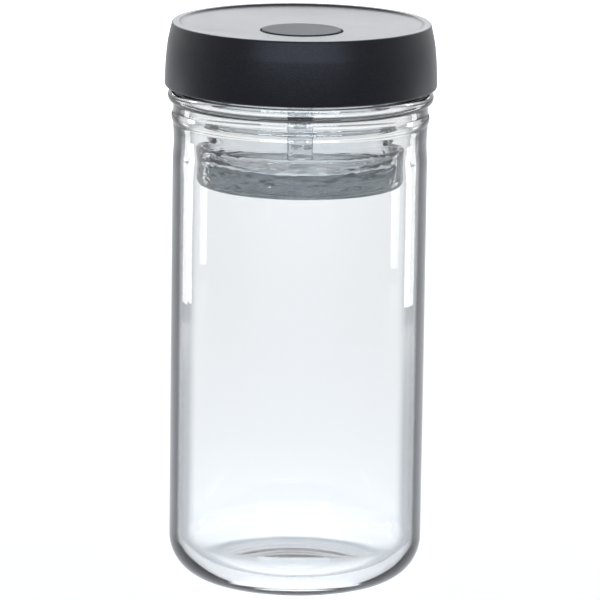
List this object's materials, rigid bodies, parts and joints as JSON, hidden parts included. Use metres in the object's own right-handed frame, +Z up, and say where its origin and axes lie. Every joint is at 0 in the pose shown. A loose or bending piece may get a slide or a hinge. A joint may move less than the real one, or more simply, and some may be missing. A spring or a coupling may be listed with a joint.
{
  "type": "fermentation jar",
  "caption": "Tall clear glass jar with a charcoal screw lid, a spring-closed gas vent under a round cap, and a dished glass weight hung by its knob below the lid.",
  "frame": {"origin": "middle of the jar's base, on the table", "axes": "+Z up along the jar's axis, -Y towards the viewer of the picture, +X to the viewer's right"},
  "size_m": [0.12, 0.12, 0.25],
  "materials": {
    "jar_glass": "clear, fire-polished",
    "weight_glass": "clear, pressed",
    "lid_plastic": "fine satin grain",
    "liner_plastic": "milky satin",
    "housing_plastic": "satin",
    "cap_plastic": "soft matte",
    "silicone": "milky, soft",
    "spring_steel": "drawn wire"
  },
  "bodies": {
    "jar": {"glass_jar": "jar_glass"},
    "seal": {"lid_seal": "silicone"},
    "lid": {"lid_shell": "lid_plastic", "thread_liner": "liner_plastic", "vent_housing": "housing_plastic", "housing_gasket": "silicone", "weight_plug": "silicone", "vent_spring": "spring_steel"},
    "vent": {"vent_cap": "cap_plastic", "vent_washer": "silicone", "vent_stem": "spring_steel", "spring_clip": "spring_steel"},
    "weight": {"glass_weight": "weight_glass"}
  },
  "joints": [
    {"name": "lid_lift", "type": "slide", "parent": "jar", "child": "seal", "axis": [0, 0, 1], "range_m": [0, 0.12]},
    {"name": "lid_turn", "type": "hinge", "parent": "seal", "child": "lid", "pos_m": [0, 0, 0.24], "axis": [0, 0, 1], "range_deg": [0, 90]},
    {"name": "vent_lift", "type": "slide", "parent": "lid", "child": "vent", "axis": [0, 0, 1], "range_m": [0, 0.002], "stiffness_N_per_m": 150, "springref_m": -0.0017, "deforming": ["vent_spring"]},
    {"name": "weight_pull", "type": "slide", "parent": "lid", "child": "weight", "axis": [0, 0, -1], "range_m": [0, 0.03]}
  ]
}
